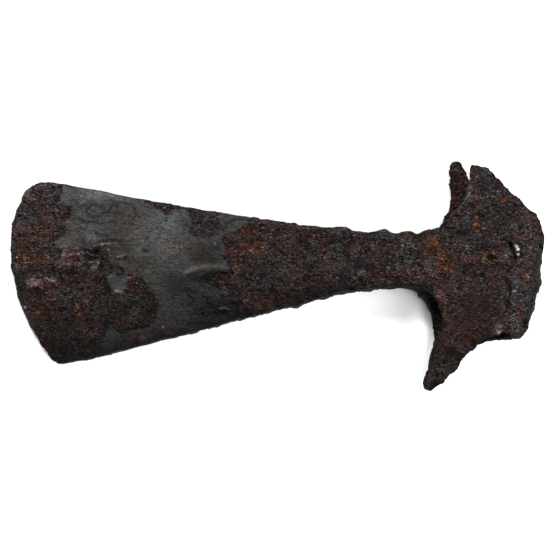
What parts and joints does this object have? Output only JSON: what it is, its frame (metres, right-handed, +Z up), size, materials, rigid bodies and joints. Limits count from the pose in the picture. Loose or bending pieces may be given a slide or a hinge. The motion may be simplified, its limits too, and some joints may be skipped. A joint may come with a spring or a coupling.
{
  "type": "iron axe head",
  "caption": "Forged iron axe head with a long flaring blade, a convex cutting edge and a socket with pointed lugs, rusted and partly broken, lying on its side.",
  "frame": {"origin": "on the surface that the head lies on, below the middle of the head's box", "axes": "+X from the cutting edge to the poll, +Y along the haft's eye, towards the whole upper lug, +Z up from the surface"},
  "size_m": [0.1988, 0.0974, 0.0283],
  "materials": {
    "corroded_iron": "dull, rusted and pitted iron with patches of smooth dark grey patina"
  },
  "bodies": {
    "root": {"axe_head": "corroded_iron"}
  },
  "joints": []
}
